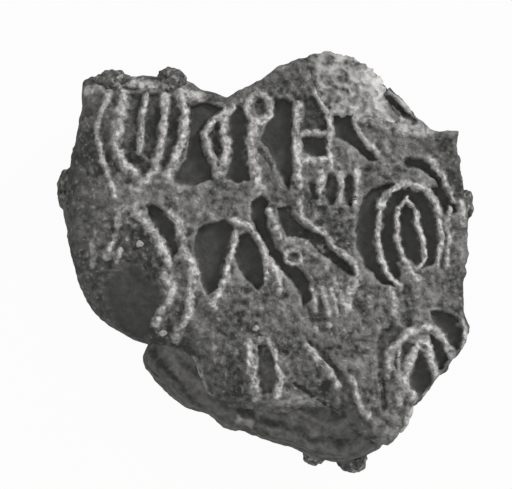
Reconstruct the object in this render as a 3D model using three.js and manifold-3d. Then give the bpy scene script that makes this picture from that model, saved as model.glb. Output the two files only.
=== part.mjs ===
// A clay bulla: two pads of clay pressed together round a cord, with rolled ornament on the upper
// pad, a lime crust on one corner, and the pellets, crumbs and grit that such a find carries.
// Millimetres. +Z is out of the ornamented face, +Y runs to its top edge. The bulla lies on its back.
import * as THREE from "three";
import Module from "manifold-3d";
import { mergeVertices } from "three/addons/utils/BufferGeometryUtils.js";

const wasm = await Module();
wasm.setup();

// Driving sizes of the lump.
const bullaWidth = 48; // along the rows of ornament
const bullaLength = 48; // across the rows
const backingThickness = 7.4; // resting face to the joint between the pads
const faceThickness = 7.6; // joint to the crown of the face
const cordDiameter = 5.8; // the cord that the pads were closed round
const cordShrinkGap = 0.3; // dried clay stands back from the cord
const seatGap = 0.3; // round a piece that sits in or on its neighbour

// The face falls from its crown to the rim, most of all towards the lower left.
const rimDrop = 1.9;
const rimDropSwing = 1.6;
const rimDropDirection = 225; // degrees, anticlockwise from +X
const rimDropPower = 6;
const rimRoll = 0.65; // the rim is rounded over by this much more, most of all on the left
const rimRollSwing = 0.35;
const rimRollDirection = 175; // degrees
const faceFootInset = 0.9; // the face pad draws in where it meets the backing
const faceBulgeRise = 1.6; // above the joint, where the face pad is first at its widest

// The backing pad is flat underneath and round at its flanks. Along the lower left it shows past
// the face pad, as an apron that wells up until it is nearly flush with the face's rim.
const restFaceShare = 0.76;
const flankShares = [[0.89, 0.14], [0.96, 0.3], [1, 0.58]]; // of the outline's reach, of the edge's level
const shoulderInset = 0.2;
const shoulderShare = 0.8; // of the edge's level
const apronEdgeInset = 0.8;
const apronEdgeFall = 0.7; // from the face's rim out to the apron's edge
const apronStep = 0.15; // from the face's rim down to the apron
const apronTuck = 0.5; // how far the apron's top runs in under the face's outline
const apronStart = 0.2; // the width at which the apron begins to rise
const apronFullWidth = 1.4;

// The rolled ornament: raised lines on sunk fields.
const reliefHeight = 0.6; // of a crisp line above the ground
const wornReliefHeight = 0.35;
const fineLineWidth = 0.6;
const lineWidth = 0.85;
const boldLineWidth = 1.15;
const broadLineWidth = 1.45;
const barWidth = 1.7;
const fieldDepth = 1.35; // of a sunk field below the ground
const shallowFieldDepth = 0.85;
const faintFieldDepth = 0.45;
const lineRoot = 0.4; // how far a line reaches below the deepest field
const lineStep = 1.3; // between the stations of a line
const lineRimInset = 0.2; // the lines stop this far inside the rim
const grooveWidth = 1.1;

// The lime crust lies on a bevel at the upper right.
const crustThickness = 1.6;
const crustSeatDepth = 1.6; // of the bevel's inner edge below the crown
const crustSlope = 28; // degrees
const crustDirection = 55; // degrees, the way the bevel faces
const crustStart = 17.5; // from the middle to the bevel's inner edge

// What else clings to the clay.
const flakeWidth = 0.6; // of a thin flake that stands on edge
const flakeSlotWidth = 1.8;
const flakeHeight = 2.4;
const flakeFall = 0.4; // of its top below the ground
const gritRadius = 0.45;
const gritSitShare = 0.2; // of its radius, how far a grain's middle stands above the clay
const pelletRadii = [1.8, 1.2, 1.3];
const roundPelletRadii = [1.5, 1.3, 1.3];
const sideCrumbRadii = [1.3, 2.5, 1.8];
const sideFlakeRadii = [1.1, 2, 1.6];
const footCrumbRadii = [1.4, 1.2, 1.3];
const bigFootCrumbRadii = [1.9, 1.5, 1.6];

const cutOverrun = 2; // every cutter reaches this far past what it cuts
const weld = 1e-4;
const jointLevel = backingThickness;
const crownLevel = backingThickness + faceThickness;
const tunnelRadius = cordDiameter / 2 + cordShrinkGap;
const tunnelSides = 24;

// Places are pixels of a straight-down photograph, on which the bulla is this wide and long.
const middlePixel = [265.5, 261.5];
const spanPixels = 420;

const faceOutlinePixels = [
  [465, 215], [462, 190], [459, 165], [457, 145], [457, 132], [447, 131], [438, 132], [430, 128],
  [421, 121], [413, 116], [407, 105], [399, 97], [390, 92], [384, 84], [375, 73], [362, 64], [345, 58],
  [329, 52], [314, 57], [300, 60], [286, 64], [273, 71], [262, 80], [250, 87], [238, 91], [227, 98],
  [213, 94], [201, 92], [193, 86], [182, 82], [170, 80], [158, 80], [146, 78], [132, 78], [120, 80],
  [106, 79], [93, 80], [85, 86], [82, 97], [81, 110], [78, 128], [75, 145], [71, 160], [68, 175], [66, 195],
  [66, 215], [67, 235], [72, 255], [76, 270], [81, 287], [90, 303], [102, 318], [118, 328],
  [134, 337], [148, 342], [166, 346], [182, 350], [192, 358], [199, 374], [206, 392], [222, 402],
  [242, 408], [262, 411], [282, 414], [300, 409], [318, 406], [334, 410], [346, 423], [360, 434],
  [374, 443], [388, 446], [398, 436], [404, 422], [412, 408], [424, 396], [434, 380], [446, 367],
  [459, 352], [467, 339], [468, 326], [464, 312], [463, 290], [463, 265], [465, 240],
];
const backingOutlinePixels = [
  [458, 235], [456, 190], [449, 150], [440, 140], [415, 128], [392, 108], [372, 80], [345, 66],
  [322, 64], [290, 72], [262, 90], [228, 105], [196, 98], [170, 88], [140, 86], [105, 86], [92, 92],
  [88, 115], [84, 140], [76, 160], [66, 185], [62, 205], [65, 230], [70, 252], [77, 275], [84, 295],
  [95, 312], [108, 325], [124, 334], [140, 341], [147, 346], [144, 357], [147, 368], [158, 381],
  [172, 394], [186, 404], [200, 411], [213, 416], [224, 426], [236, 430], [246, 429], [258, 435],
  [275, 441], [292, 446], [305, 451], [318, 458], [334, 462], [350, 464], [364, 458], [374, 451],
  [388, 446], [398, 428], [408, 408], [428, 386], [450, 355], [460, 335], [456, 310], [457, 275],
];
const crustOuterPixels = [
  [395, 116], [388, 107], [384, 96], [381, 84], [373, 74], [361, 65], [345, 59], [329, 53], [309, 60],
];
const crustInnerPixels = [
  [312, 78], [317, 91], [324, 104], [331, 113], [340, 114], [352, 113], [360, 117], [372, 114],
  [384, 116], [394, 124], [403, 127],
];
const topFlakePixels = [[390, 95], [397, 100], [404, 108], [410, 117]];
const topSlotPixels = [[387, 95], [395, 101], [402, 109], [409, 120]];
const lowFlakePixels = [[397, 430], [403, 415], [409, 404]];
const lowSlotPixels = [[394, 434], [401, 416], [409, 401]];

// A place on the bulla in millimetres.
function place([pixelAcross, pixelDown]) {
  const acrossShare = (pixelAcross - middlePixel[0]) / spanPixels;
  const alongShare = (middlePixel[1] - pixelDown) / spanPixels;
  return new THREE.Vector2(acrossShare * bullaWidth, alongShare * bullaLength);
}

const faceOutline = faceOutlinePixels.map(place);
const backingOutline = backingOutlinePixels.map(place);

// How far out a point lies: 0 at the middle and 1 on the outline.
function reachOf(point, outline) {
  let share = 0;
  outline.forEach((start, i) => {
    const edge = outline[(i + 1) % outline.length].clone().sub(start);
    const facing = point.cross(edge);
    const along = start.cross(point) / facing;
    const out = start.cross(edge) / facing;
    if (along >= 0 && along <= 1 && out > 0) share = Math.max(share, 1 / out);
  });
  return share;
}

// A size that swings about its mean with the way a point lies, greatest in one direction.
function swung(mean, swing, direction, point) {
  return mean + swing * Math.cos(Math.atan2(point.y, point.x) - THREE.MathUtils.degToRad(direction));
}

// The face's fall at its rim, and its ground at any place.
function dropAt(point) {
  return swung(rimDrop, rimDropSwing, rimDropDirection, point);
}

function groundAt(point) {
  return crownLevel - dropAt(point) * reachOf(point, faceOutline) ** rimDropPower;
}

// How much of an apron the backing makes, the way a point lies: 0 where the face pad covers it and
// 1 where it shows at full width.
function apronShare(point) {
  const [backingReach, faceReach] = [backingOutline, faceOutline].map(
    (outline) => point.length() / reachOf(point, outline));
  return THREE.MathUtils.smoothstep(backingReach - faceReach, apronStart, apronFullWidth);
}

// A geometry as a solid that can be cut and joined.
function solidOf(geometry) {
  const bare = geometry.index ? geometry.toNonIndexed() : geometry.clone();
  bare.deleteAttribute("normal");
  bare.deleteAttribute("uv");
  const merged = mergeVertices(bare, weld);
  const mesh = new wasm.Mesh({
    numProp: 3,
    vertProperties: merged.attributes.position.array,
    triVerts: new Uint32Array(merged.index.array),
  });
  return new wasm.Manifold(mesh);
}

function geometryOf(solid) {
  const mesh = solid.getMesh();
  const geometry = new THREE.BufferGeometry();
  geometry.setAttribute("position", new THREE.BufferAttribute(mesh.vertProperties, 3));
  geometry.setIndex(new THREE.BufferAttribute(mesh.triVerts, 1));
  geometry.computeVertexNormals();
  return geometry;
}

function join(solids) {
  return solids.reduce((whole, solid) => whole.add(solid));
}

// A closed skin over a stack of rings of like count, each anticlockwise about the way the stack
// runs. A ring of one point closes an end.
function skin(rings) {
  const positions = rings.flatMap((ring) => ring.flatMap((point) => point.toArray()));
  const index = [];
  let first = 0;
  for (let level = 0; level + 1 < rings.length; level++) {
    const here = rings[level].length;
    const next = rings[level + 1].length;
    const sides = Math.max(here, next);
    for (let side = 0; side < sides; side++) {
      const turned = (side + 1) % sides;
      const [a, b] = here > 1 ? [first + side, first + turned] : [first, first];
      const above = first + here;
      const [d, c] = next > 1 ? [above + side, above + turned] : [above, above];
      if (here > 1) index.push(a, b, c);
      if (next > 1) index.push(a, c, d);
    }
    first += here;
  }
  const geometry = new THREE.BufferGeometry();
  geometry.setAttribute("position", new THREE.Float32BufferAttribute(positions, 3));
  geometry.setIndex(index);
  return geometry;
}

// An outline drawn in towards the middle by a share or by a length, at a level of its own.
function ringAt(outline, share, levelOf) {
  return outline.map((point) => new THREE.Vector3(point.x * share, point.y * share, levelOf(point)));
}

function ringInset(outline, inset, levelOf) {
  return outline.map((point) => {
    const drawn = point.clone().setLength(point.length() - inset);
    return new THREE.Vector3(drawn.x, drawn.y, levelOf(point));
  });
}

function pole(level) {
  return [new THREE.Vector3(0, 0, level)];
}

// An upright prism on an outline, between two levels.
function prism(outline, low, high) {
  const shape = new THREE.Shape(outline);
  const geometry = new THREE.ExtrudeGeometry(shape, { depth: high - low, bevelEnabled: false });
  return solidOf(geometry.translate(0, 0, low));
}

// The outline of a strip of one width along a path.
function stripAlong(path, width) {
  const sides = path.map((point, i) => {
    const onward = path[Math.min(i + 1, path.length - 1)].clone().sub(path[Math.max(i - 1, 0)]);
    const aside = new THREE.Vector2(-onward.y, onward.x).setLength(width / 2);
    return [point.clone().sub(aside), point.clone().add(aside)];
  });
  return [...sides.map((side) => side[0]), ...sides.map((side) => side[1]).reverse()];
}

// An anticlockwise outline moved outwards, square to its sides.
function outset(outline, lengthOf) {
  return outline.map((point, i) => {
    const back = outline[(i + outline.length - 1) % outline.length];
    const onward = outline[(i + 1) % outline.length];
    const before = point.clone().sub(back).normalize();
    const after = onward.clone().sub(point).normalize();
    const along = before.clone().add(after).normalize();
    const stretch = lengthOf(i) / along.dot(before);
    return new THREE.Vector2(point.x + along.y * stretch, point.y - along.x * stretch);
  });
}

// A raised line: a low roof carried along its path, rooted below the deepest sunk field. The roof's
// corners are shares of the line's width and height.
const roofShares = [[-0.6, 0], [0.6, 0], [0.46, 0.7], [0.22, 1], [-0.22, 1], [-0.46, 0.7]];
const lineEndShare = 0.6; // of the width

function raisedLine({ path, width, rise }) {
  const flat = path.map((point) => new THREE.Vector3(point.x, point.y, 0));
  const curve = new THREE.CatmullRomCurve3(flat, false, "centripetal");
  const steps = Math.max(path.length - 1, Math.ceil(curve.getLength() / lineStep));
  const height = rise + fieldDepth + lineRoot;
  const rings = [];
  for (let step = 0; step <= steps; step++) {
    const spot = curve.getPointAt(step / steps);
    const onward = curve.getTangentAt(step / steps);
    const aside = new THREE.Vector3(-onward.y, onward.x, 0);
    const wide = step === 0 || step === steps ? width * lineEndShare : width;
    const foot = groundAt(new THREE.Vector2(spot.x, spot.y)) + rise - height;
    rings.push(roofShares.map(([across, up]) => {
      const corner = spot.clone().addScaledVector(aside, across * wide);
      corner.z = foot + up * height;
      return corner;
    }));
  }
  const caps = [rings[0], rings[steps]].map((ring) => {
    const sum = ring.reduce((total, corner) => total.add(corner), new THREE.Vector3());
    return [sum.divideScalar(ring.length)];
  });
  return solidOf(skin([caps[0], ...rings, caps[1]]));
}

// Points on an upright ellipse, from one angle to another in degrees, anticlockwise from +X.
const arcStep = 24; // degrees
const closedTurn = 378; // degrees, so that a ring's two ends run into each other

function arcPath([acrossPixel, downPixel], [acrossReachPixels, downReachPixels], from, to) {
  const steps = Math.ceil(Math.abs(to - from) / arcStep);
  return Array.from({ length: steps + 1 }, (_, step) => {
    const angle = THREE.MathUtils.degToRad(from + ((to - from) * step) / steps);
    return place([
      acrossPixel + acrossReachPixels * Math.cos(angle),
      downPixel - downReachPixels * Math.sin(angle),
    ]);
  });
}

function line(pathPixels, width = lineWidth, rise = reliefHeight) {
  return { path: pathPixels.map(place), width, rise };
}

function arc(centrePixel, reachPixels, from, to, width = lineWidth, rise = reliefHeight) {
  return { path: arcPath(centrePixel, reachPixels, from, to), width, rise };
}

// A cutter for a sunk field, with upright sides and a floor that follows the ground.
function sunkField(outline, depth) {
  const shape = new THREE.Shape(outline);
  const geometry = new THREE.ExtrudeGeometry(shape, { depth: crownLevel + cutOverrun, bevelEnabled: false });
  const position = geometry.attributes.position;
  for (let i = 0; i < position.count; i++) {
    if (position.getZ(i) > 0) continue;
    const corner = new THREE.Vector2(position.getX(i), position.getY(i));
    position.setZ(i, groundAt(corner) - depth);
  }
  return solidOf(geometry);
}

function field(outlinePixels, depth = fieldDepth) {
  return sunkField(outlinePixels.map(place), depth);
}

function oval(centrePixel, reachPixels, depth = fieldDepth) {
  return sunkField(arcPath(centrePixel, reachPixels, 0, 360).slice(0, -1), depth);
}

function groove(pathPixels, width, depth) {
  return sunkField(stripAlong(pathPixels.map(place), width), depth);
}

// The ornament, motif by motif, row by row from the upper left. A motif is its lines and its fields.
const openLoops = {
  lines: [
    line([[88, 92], [100, 86], [122, 83], [150, 85], [172, 84], [184, 90]], barWidth, wornReliefHeight),
    line([[110, 89], [103, 110], [97, 132], [101, 153], [107, 174], [115, 197]], lineWidth,
      wornReliefHeight),
    line([[123, 91], [123, 105], [119, 122], [116, 138], [118, 151], [124, 163], [134, 173]],
      broadLineWidth, wornReliefHeight),
    line([[146, 94], [143, 117], [142, 135], [140, 152]], fineLineWidth),
    line([[166, 95], [165, 115], [163, 133], [160, 150], [155, 168]], boldLineWidth),
    line([[182, 96], [184, 112], [184, 127], [180, 145], [175, 161], [167, 177]], broadLineWidth),
  ],
  fields: [
    field([[104, 100], [118, 95], [113, 125], [114, 158], [122, 172], [112, 178], [104, 160], [100, 132]],
      faintFieldDepth),
    field([[128, 94], [142, 94], [139, 118], [136, 152], [150, 166], [143, 176], [128, 164], [121, 146],
      [124, 118]], shallowFieldDepth),
    field([[148, 94], [161, 94], [160, 118], [156, 148], [150, 160], [144, 154], [146, 120]],
      shallowFieldDepth),
    field([[169, 97], [179, 97], [179, 128], [174, 150], [164, 170], [160, 166], [166, 132]],
      shallowFieldDepth),
  ],
};
const lozenge = {
  lines: [
    line([[229, 108], [217, 118], [206, 131], [207, 144], [213, 157], [219, 173]]),
    line([[232, 107], [223, 117], [223, 132], [228, 148], [225, 160], [219, 174]], boldLineWidth),
  ],
  fields: [
    field([[190, 106], [206, 103], [222, 108], [210, 118], [200, 132], [202, 148], [210, 166], [213, 178],
      [196, 184], [174, 184], [172, 178], [186, 160], [190, 132]]),
    field([[236, 106], [248, 112], [249, 130], [247, 150], [250, 180], [236, 184], [226, 178], [232, 158],
      [229, 134], [229, 118]]),
    field([[215, 122], [219, 128], [220, 138], [224, 150], [220, 160], [213, 148], [210, 134]],
      shallowFieldDepth),
  ],
};
const ringedPin = {
  lines: [
    line([[252, 127], [251, 140], [251, 151], [254, 164], [258, 186]], broadLineWidth),
    arc([259, 109], [12, 14], 0, closedTurn),
  ],
  fields: [
    field([[276, 98], [291, 104], [293, 165], [288, 187], [278, 173], [270, 153], [260, 139], [266, 128],
      [272, 115]]),
  ],
};
const ladder = {
  lines: [
    line([[297, 105], [297, 125], [298, 153], [298, 184]], boldLineWidth),
    line([[315, 88], [324, 103], [330, 118], [331, 135], [330, 166]], fineLineWidth),
    line([[302, 134], [329, 131]], lineWidth, wornReliefHeight),
    line([[302, 161], [330, 161]], lineWidth, wornReliefHeight),
  ],
  fields: [
    field([[304, 100], [318, 97], [328, 118], [328, 130], [304, 130]], shallowFieldDepth),
    field([[303, 138], [330, 136], [329, 156], [316, 158], [304, 151]]),
  ],
};
const wedge = {
  lines: [line([[354, 110], [357, 130], [366, 142], [378, 153]], fineLineWidth, wornReliefHeight)],
  fields: [
    field([[333, 115], [352, 114], [355, 132], [364, 145], [377, 159], [368, 161], [352, 146], [336, 137]]),
  ],
};
const comb = {
  lines: [
    line([[322, 173], [320, 187], [318, 203]], lineWidth, wornReliefHeight),
    line([[340, 175], [341, 186], [338, 202]], lineWidth, wornReliefHeight),
    line([[358, 171], [357, 186], [354, 203]], lineWidth, wornReliefHeight),
  ],
  fields: [
    oval([331, 190], [6.5, 15], shallowFieldDepth),
    oval([349, 191], [6.5, 16], shallowFieldDepth),
  ],
};
const nestedOvals = {
  lines: [
    arc([409, 236], [31.5, 52], -34, 252),
    line([[406, 200], [397, 212], [396, 235], [400, 251], [407, 266], [418, 278]]),
    line([[406, 200], [415, 212], [418, 230], [422, 243], [423, 257], [418, 267]]),
    line([[428, 161], [436, 168], [443, 178], [449, 189], [454, 202]], lineWidth, wornReliefHeight),
    line([[449, 208], [447, 228], [447, 248], [446, 266]], fineLineWidth, wornReliefHeight),
  ],
  fields: [
    oval([397, 235], [46, 55]),
    field([[431, 189], [440, 186], [452, 198], [455, 212], [447, 216], [440, 204]]),
    groove([[409, 163], [424, 166], [437, 176], [446, 190], [451, 205]], grooveWidth, fieldDepth),
  ],
};
const nestedArches = {
  lines: [
    line([[170, 212], [177, 222], [181, 235], [184, 246], [188, 256], [193, 266], [192, 285], [190, 303],
      [187, 318], [181, 330], [176, 339]], boldLineWidth, wornReliefHeight),
    line([[136, 210], [146, 224], [156, 237], [163, 249], [168, 261]], boldLineWidth, wornReliefHeight),
    line([[166, 276], [171, 287], [169, 300], [161, 313], [156, 324]], boldLineWidth, wornReliefHeight),
    line([[118, 220], [117, 235], [111, 247], [107, 256]], lineWidth, wornReliefHeight),
  ],
  fields: [
    field([[147, 205], [156, 206], [166, 213], [173, 226], [179, 240], [177, 253], [171, 258], [164, 246],
      [154, 228]]),
    field([[106, 268], [128, 258], [150, 272], [167, 287], [168, 305], [160, 322], [146, 338], [126, 334],
      [106, 320], [94, 300], [97, 280]], faintFieldDepth),
    field([[118, 278], [130, 272], [146, 284], [157, 294], [156, 306], [148, 318], [138, 324], [126, 322],
      [114, 310], [108, 296]]),
    field([[173, 262], [181, 262], [188, 282], [187, 302], [180, 322], [172, 332], [165, 326], [174, 306],
      [177, 286]], faintFieldDepth),
  ],
};
const chevron = {
  lines: [
    line([[235, 235], [231, 255], [226, 275], [220, 290], [213, 306]], boldLineWidth),
    line([[236, 220], [249, 228], [259, 240], [266, 256], [266, 277]]),
    line([[266, 256], [275, 264], [279, 278], [281, 293]]),
  ],
  fields: [
    field([[200, 228], [208, 222], [226, 221], [234, 228], [231, 250], [226, 272], [219, 288], [208, 293],
      [201, 280], [196, 255], [196, 238]]),
    field([[238, 238], [248, 233], [258, 247], [263, 263], [263, 284], [258, 290], [248, 281], [240, 268],
      [235, 254]]),
  ],
};
const slantedBars = {
  lines: [
    line([[270, 211], [274, 224], [279, 237]]),
    line([[299, 204], [303, 216], [312, 225], [322, 232], [334, 246], [345, 255], [353, 265], [359, 277]],
      lineWidth, wornReliefHeight),
    arc([293, 257], [8, 8], 0, closedTurn, fineLineWidth, wornReliefHeight),
    line([[336, 283], [341, 296], [346, 312]], lineWidth, wornReliefHeight),
    line([[357, 277], [350, 289], [346, 312]], lineWidth, wornReliefHeight),
  ],
  fields: [
    field([[251, 202], [262, 197], [268, 202], [266, 215], [268, 230], [272, 242], [284, 257], [297, 268],
      [310, 281], [312, 300], [303, 306], [298, 290], [284, 272], [270, 257], [262, 240], [252, 222]]),
    field([[278, 209], [290, 207], [294, 221], [308, 229], [320, 236], [330, 247], [340, 256], [350, 266],
      [353, 275], [344, 271], [332, 262], [320, 251], [306, 245], [294, 243], [286, 236], [281, 224]]),
  ],
};
const flutes = {
  lines: [
    line([[313, 290], [315, 311]], fineLineWidth, wornReliefHeight),
    line([[322, 287], [328, 314]], fineLineWidth, wornReliefHeight),
    line([[331, 289], [338, 315]], fineLineWidth, wornReliefHeight),
  ],
  fields: [],
};
const uprightPair = {
  lines: [
    line([[249, 344], [250, 362], [254, 378], [256, 397]], boldLineWidth),
    line([[259, 338], [269, 340], [276, 359], [280, 377], [277, 396]], lineWidth, wornReliefHeight),
  ],
  fields: [
    field([[259, 345], [268, 344], [275, 362], [277, 380], [273, 393], [262, 394], [257, 370]],
      shallowFieldDepth),
  ],
};
const lowerArches = {
  lines: [
    line([[388, 368], [390, 352], [398, 341], [407, 333], [418, 328], [427, 327], [438, 332], [446, 343],
      [451, 358]]),
    line([[421, 341], [414, 354], [409, 366], [404, 376], [405, 387], [412, 397]], boldLineWidth),
    line([[421, 341], [427, 345], [430, 358], [436, 373]]),
  ],
  fields: [
    field([[430, 311], [443, 312], [457, 318], [463, 328], [465, 342], [456, 350], [445, 335], [434, 322]]),
    field([[380, 330], [392, 326], [402, 329], [392, 341], [384, 352], [383, 370], [377, 366], [376, 346]],
      shallowFieldDepth),
    field([[396, 347], [405, 340], [413, 344], [405, 358], [399, 372], [394, 366]], shallowFieldDepth),
    field([[429, 335], [438, 338], [446, 350], [448, 361], [440, 372], [434, 362], [431, 348]]),
    field([[420, 350], [415, 364], [408, 378], [409, 389], [419, 397], [431, 386], [432, 374], [427, 364],
      [424, 352]]),
  ],
};
const valley = {
  lines: [
    line([[309, 345], [318, 356], [329, 369], [338, 386]], lineWidth, wornReliefHeight),
    line([[352, 380], [357, 395], [361, 410], [368, 415]], lineWidth, wornReliefHeight),
  ],
  fields: [
    field([[309, 338], [316, 343], [326, 352], [336, 364], [346, 378], [354, 394], [358, 410], [368, 422],
      [377, 438], [366, 440], [352, 430], [343, 418], [339, 400], [337, 386], [329, 371], [318, 357],
      [309, 346]], shallowFieldDepth),
    groove([[383, 366], [381, 384], [384, 408]], grooveWidth, faintFieldDepth),
  ],
};
const motifs = [
  openLoops, lozenge, ringedPin, ladder, wedge, comb, nestedOvals, nestedArches, chevron, slantedBars,
  flutes, uprightPair, lowerArches, valley,
];
const lines = motifs.flatMap((motif) => motif.lines);
const fields = motifs.flatMap((motif) => motif.fields);

// The cord's way through the bulla: a round tunnel along the rows, half in each pad.
const tunnel = solidOf(
  new THREE.CylinderGeometry(tunnelRadius, tunnelRadius, bullaWidth + cutOverrun * 2, tunnelSides)
    .rotateY(Math.PI / tunnelSides)
    .rotateZ(Math.PI / 2)
    .translate(0, 0, jointLevel),
);

// The bevel under the crust faces up and to the right. What is on it is a flat slab, tilted.
function bevelSlab(low, high) {
  const geometry = new THREE.BoxGeometry(bullaWidth, bullaLength, high - low)
    .translate(0, 0, (low + high) / 2)
    .rotateY(THREE.MathUtils.degToRad(crustSlope))
    .translate(crustStart, 0, crownLevel - crustSeatDepth)
    .rotateZ(THREE.MathUtils.degToRad(crustDirection));
  return solidOf(geometry);
}

// The seat is open towards the rim, so there its outline runs past the clay.
const crustOutline = [...crustOuterPixels, ...crustInnerPixels].map(place);
const crustSeatOutline = outset(crustOutline, (i) => (i < crustOuterPixels.length ? cutOverrun : seatGap));
const crustTop = crownLevel + cutOverrun;
const crust = prism(crustOutline, jointLevel, crustTop)
  .intersect(bevelSlab(seatGap, seatGap + crustThickness));
const crustSeat = prism(crustSeatOutline, jointLevel, crustTop).intersect(bevelSlab(0, faceThickness));

// Thin flakes stand on edge along the rim, each in a slot of its own.
function flakeLevel(pixels) {
  return groundAt(place(pixels[1])) - flakeFall;
}

function standingFlake(pixels) {
  const top = flakeLevel(pixels);
  return prism(stripAlong(pixels.map(place), flakeWidth), top - flakeHeight, top);
}

function flakeSlot(slotPixels, flakePixels) {
  const floor = flakeLevel(flakePixels) - flakeHeight - seatGap;
  return prism(stripAlong(slotPixels.map(place), flakeSlotWidth), floor, crownLevel + cutOverrun);
}

// A lump of clay or lime: a ball with gentle knobs, stretched to its own three radii.
const knobShare = 0.12; // of the radius
const knobTurns = 3.1; // how tightly the knobs follow each other

function lump(centre, radii) {
  const geometry = new THREE.IcosahedronGeometry(1, 1);
  const position = geometry.attributes.position;
  const corner = new THREE.Vector3();
  for (let i = 0; i < position.count; i++) {
    corner.fromBufferAttribute(position, i);
    const knob = Math.sin(knobTurns * corner.x + corner.z) * Math.cos(knobTurns * corner.y - corner.x);
    corner.multiplyScalar(1 - knobShare + knobShare * knob);
    position.setXYZ(i, corner.x, corner.y, corner.z);
  }
  return solidOf(geometry.scale(...radii).translate(centre.x, centre.y, centre.z));
}

// A lump stuck to a pad's flank, its middle over a pixel on the pad's outline. The pad, and the pad
// moved out and up by the seat gap, are cut from it.
function stuckLump({ pixel, radii, on }) {
  const spot = place(pixel);
  const out = spot.clone().setLength(seatGap);
  const body = lump(new THREE.Vector3(spot.x, spot.y, on.levelOf(spot)), radii);
  const outwards = on.pad.translate([out.x, out.y, 0]);
  const upwards = on.pad.translate([0, 0, seatGap]);
  return body.subtract(on.pad).subtract(outwards).subtract(upwards);
}

// A grain of grit, and the socket that it sits in.
function grit(pixel, levelOf) {
  const spot = place(pixel);
  const level = levelOf(spot) + gritRadius * gritSitShare;
  const ball = (radius) => solidOf(new THREE.IcosahedronGeometry(radius, 0).translate(spot.x, spot.y, level));
  return { grain: ball(gritRadius), socket: ball(gritRadius + seatGap) };
}

const faceGritPixels = [[140, 244], [163, 333], [315, 329], [256, 328], [329, 325]];
const faceGrit = faceGritPixels.map((pixel) => grit(pixel, groundAt));

// The backing's top and its edge at a point of its outline, and the whole backing pad.
function apronTop(point) {
  const flush = crownLevel - dropAt(point) - apronStep;
  return THREE.MathUtils.lerp(jointLevel, flush, apronShare(point));
}

function edgeLevel(point) {
  return apronTop(point) - apronEdgeFall * apronShare(point);
}

function apronInnerRing() {
  return backingOutline.map((point) => {
    const faceReach = point.length() / reachOf(point, faceOutline);
    const inner = point.clone().setLength(Math.min(point.length(), faceReach) - apronTuck - apronEdgeInset);
    return new THREE.Vector3(inner.x, inner.y, apronTop(point));
  });
}

function makeBackingPad() {
  const flank = flankShares.map(([reachShare, levelShare]) => ringAt(backingOutline, reachShare,
    (point) => edgeLevel(point) * levelShare));
  const body = solidOf(skin([
    pole(0),
    ringAt(backingOutline, restFaceShare, () => 0),
    ...flank,
    ringInset(backingOutline, shoulderInset, (point) => edgeLevel(point) * shoulderShare),
    ringInset(backingOutline, apronEdgeInset, edgeLevel),
    apronInnerRing(),
    pole(crownLevel - rimDrop),
  ]));
  const bed = prism(outset(faceOutline, () => seatGap), jointLevel, crownLevel);
  return body.subtract(bed).subtract(tunnel);
}

// The face pad: level underneath, domed on top, with the ornament, the crust's seat and the slots.
const domeShares = [0.97, 0.93, 0.86, 0.74, 0.5]; // of the outline's reach

function rolledRim(point) {
  const roll = swung(rimRoll, rimRollSwing, rimRollDirection, point);
  return crownLevel - dropAt(point) - roll * (1 - apronShare(point));
}

function makeFacePad() {
  const dome = domeShares.map((share) => ringAt(faceOutline, share,
    (point) => crownLevel - dropAt(point) * share ** rimDropPower));
  const body = solidOf(skin([
    pole(jointLevel),
    ringInset(faceOutline, faceFootInset, () => jointLevel),
    ringInset(faceOutline, 0, () => jointLevel + faceBulgeRise),
    ringInset(faceOutline, 0, rolledRim),
    ...dome,
    pole(crownLevel),
  ]));
  const ornamentOutline = outset(faceOutline, () => -lineRimInset);
  const ornament = join(lines.map(raisedLine))
    .intersect(prism(ornamentOutline, jointLevel, crownLevel + reliefHeight * 2));
  const slots = [flakeSlot(topSlotPixels, topFlakePixels), flakeSlot(lowSlotPixels, lowFlakePixels)];
  const cuts = [crustSeat, tunnel, ...slots, ...faceGrit.map((piece) => piece.socket)];
  return body.subtract(join(fields)).add(ornament).subtract(join(cuts));
}

// The finishes.
const clay = { color: 0x6a6a68, roughness: 0.92, metalness: 0 };
const darkClay = { color: 0x5c5c5a, roughness: 0.94, metalness: 0 };
const lime = { color: 0x9a9a96, roughness: 0.96, metalness: 0 };
const quartz = { color: 0xc4c4c0, roughness: 0.6, metalness: 0 };

// The two pads, and the places on them where lumps stick: at what level, and in which clay.
const bellyShare = flankShares.at(-1)[1];
const backingPad = makeBackingPad();
const facePad = makeFacePad();
const faceRim = { pad: facePad, look: clay, levelOf: (point) => crownLevel - dropAt(point) };
const faceSide = { pad: facePad, look: clay, levelOf: () => jointLevel + faceThickness / 2 };
const backingBelly = { pad: backingPad, look: darkClay, levelOf: (point) => edgeLevel(point) * bellyShare };

// One mesh for each separate piece.
const bulla = new THREE.Group();

function addPiece(name, solid, look) {
  const mesh = new THREE.Mesh(geometryOf(solid), new THREE.MeshStandardMaterial(look));
  mesh.name = name;
  bulla.add(mesh);
}

addPiece("backing_pad", backingPad, darkClay);
addPiece("face_pad", facePad, clay);
addPiece("lime_crust", crust, lime);
addPiece("top_edge_flake", standingFlake(topFlakePixels), lime);
addPiece("lower_edge_flake", standingFlake(lowFlakePixels), lime);

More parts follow.
